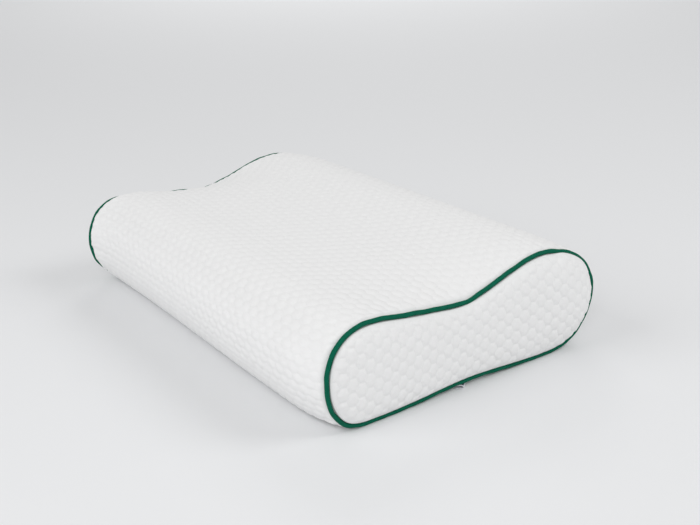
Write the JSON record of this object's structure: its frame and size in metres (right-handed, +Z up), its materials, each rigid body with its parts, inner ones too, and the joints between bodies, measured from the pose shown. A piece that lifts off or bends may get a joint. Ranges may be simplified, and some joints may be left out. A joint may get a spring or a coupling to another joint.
{
  "type": "contour pillow",
  "caption": "Contour pillow with a low front lobe, a valley for the neck and a high rear lobe, in a white honeycomb knit cover with green piping round both end panels.",
  "frame": {"origin": "on the surface the pillow lies on, under the middle of the pillow", "axes": "+X along the pillow towards the near end, the one with the label, +Y from the low front lobe to the high rear lobe, +Z up"},
  "size_m": [0.5272, 0.3719, 0.1236],
  "materials": {
    "cover": "white blister knit, raised in hexagons",
    "piping": "dark green woven piping",
    "label": "white satin tape, blank"
  },
  "bodies": {
    "root": {"pillow_body": "cover", "end_panel_near": "cover", "end_panel_far": "cover", "piping_near": "piping", "piping_far": "piping", "seam_label": "label"}
  },
  "joints": []
}
